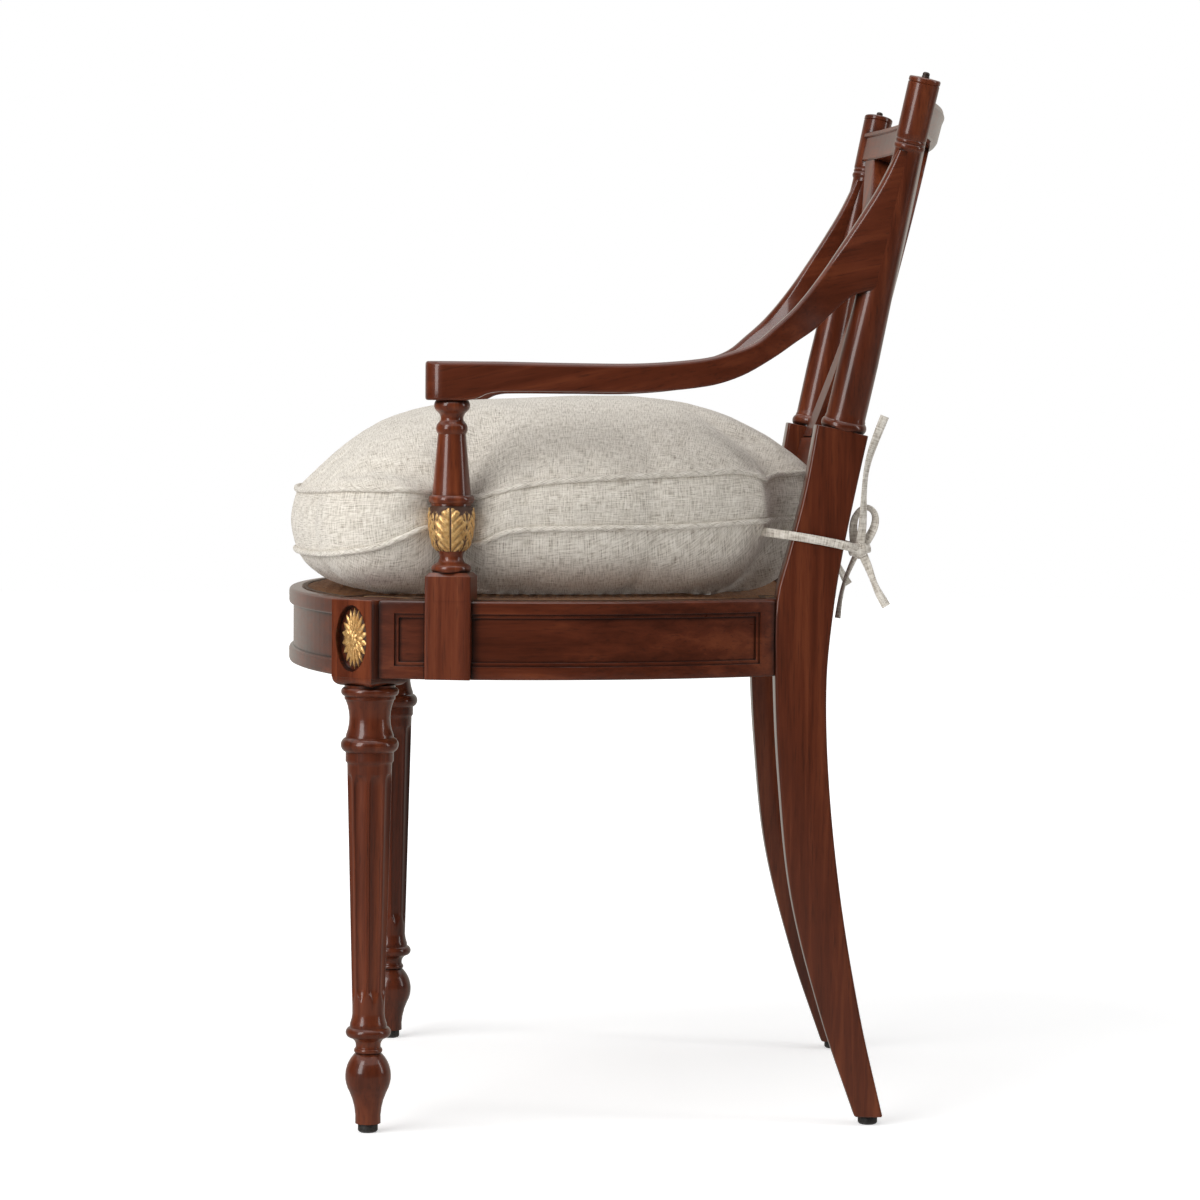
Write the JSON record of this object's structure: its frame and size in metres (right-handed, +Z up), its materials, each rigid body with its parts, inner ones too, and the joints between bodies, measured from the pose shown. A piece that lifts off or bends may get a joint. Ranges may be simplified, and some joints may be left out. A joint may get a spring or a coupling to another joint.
{
  "type": "armchair",
  "caption": "Open mahogany armchair with a lattice back, sweeping arms, fluted front legs, gilt ornaments, a caned bow-front seat and a tied linen cushion.",
  "frame": {"origin": "on the floor, under the middle of the chair's bounding box", "axes": "+X to the sitter's left, +Y to the back of the chair, +Z up"},
  "size_m": [0.578, 0.6087, 0.9404],
  "materials": {
    "mahogany": "french polished, glossy",
    "secondary_wood": "plain, unpolished",
    "gilding": "worn water gilding",
    "cane": "woven cane, satin",
    "reed": "reed, satin",
    "linen": "plain weave, matt",
    "glide": "black, matt",
    "pin": "dull"
  },
  "bodies": {
    "root": {"left_back_post": "mahogany", "right_back_post": "mahogany", "left_front_leg": "mahogany", "right_front_leg": "mahogany", "left_side_rail": "mahogany", "right_side_rail": "mahogany", "left_outer_lattice_bar": "mahogany", "right_outer_lattice_bar": "mahogany", "left_inner_lattice_bar": "mahogany", "right_inner_lattice_bar": "mahogany", "left_arm": "mahogany", "right_arm": "mahogany", "left_arm_support": "mahogany", "right_arm_support": "mahogany", "left_gilt_leaf_cup": "gilding", "right_gilt_leaf_cup": "gilding", "left_patera": "gilding", "right_patera": "gilding", "left_front_corner_block": "secondary_wood", "right_front_corner_block": "secondary_wood", "left_rear_corner_block": "secondary_wood", "right_rear_corner_block": "secondary_wood", "left_front_glide": "glide", "right_front_glide": "glide", "left_rear_glide": "glide", "right_rear_glide": "glide", "left_finial_pin": "pin", "right_finial_pin": "pin", "left_tie_knot": "linen", "right_tie_knot": "linen", "left_tie_outer_lead": "linen", "right_tie_outer_lead": "linen", "left_tie_inner_lead": "linen", "right_tie_inner_lead": "linen", "left_tie_upper_tail": "linen", "right_tie_upper_tail": "linen", "left_tie_bow": "linen", "right_tie_bow": "linen", "left_tie_right_tail": "linen", "right_tie_right_tail": "linen", "left_tie_left_tail": "linen", "right_tie_left_tail": "linen", "front_seat_rail": "mahogany", "back_seat_rail": "mahogany", "crest_rail": "mahogany", "lower_back_rail": "mahogany", "cane_panel": "cane", "cane_spline": "reed", "seat_cushion": "linen"}
  },
  "joints": []
}
